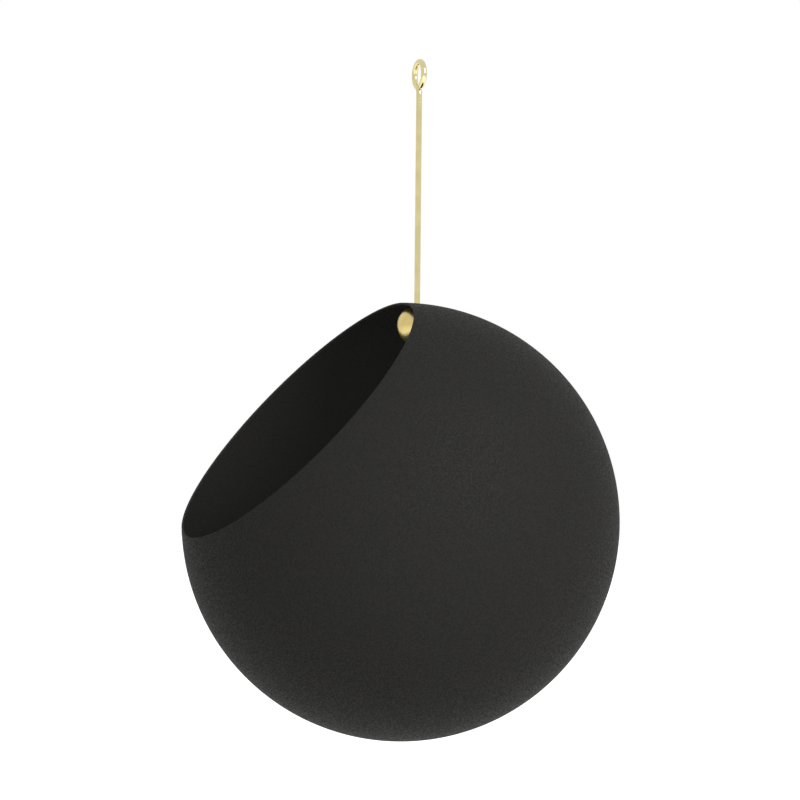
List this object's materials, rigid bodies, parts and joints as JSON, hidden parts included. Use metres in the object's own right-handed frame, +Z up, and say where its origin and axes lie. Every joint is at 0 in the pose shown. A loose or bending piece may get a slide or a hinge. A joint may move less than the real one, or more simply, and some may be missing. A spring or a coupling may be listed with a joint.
{
  "type": "globe hanging planter",
  "caption": "Hanging planter: a black spun steel globe with a slanting round mouth, hung from a brass rod that ends in an eye above and a ball knob inside.",
  "frame": {"origin": "centre of the hanging eye, on the axis of the rod", "axes": "+Z up along the rod, -Y the way the mouth faces, X across the mouth and the eye"},
  "size_m": [0.2199, 0.2197, 0.3432],
  "materials": {
    "black_powder_coat": "matt, fine-grained powder coat on spun steel, inside and out",
    "brass": "polished and lacquered, faint drawing lines on the rod, a few small pits on the ball"
  },
  "bodies": {
    "hanger": {"hanging_rod": "brass", "ball_knob": "brass"},
    "globe": {"globe_shell": "black_powder_coat"}
  },
  "joints": [
    {"name": "globe_swivel", "type": "hinge", "parent": "hanger", "child": "globe", "pos_m": [0, 0, -0.1155], "axis": [0, 0, 1], "continuous": true}
  ]
}
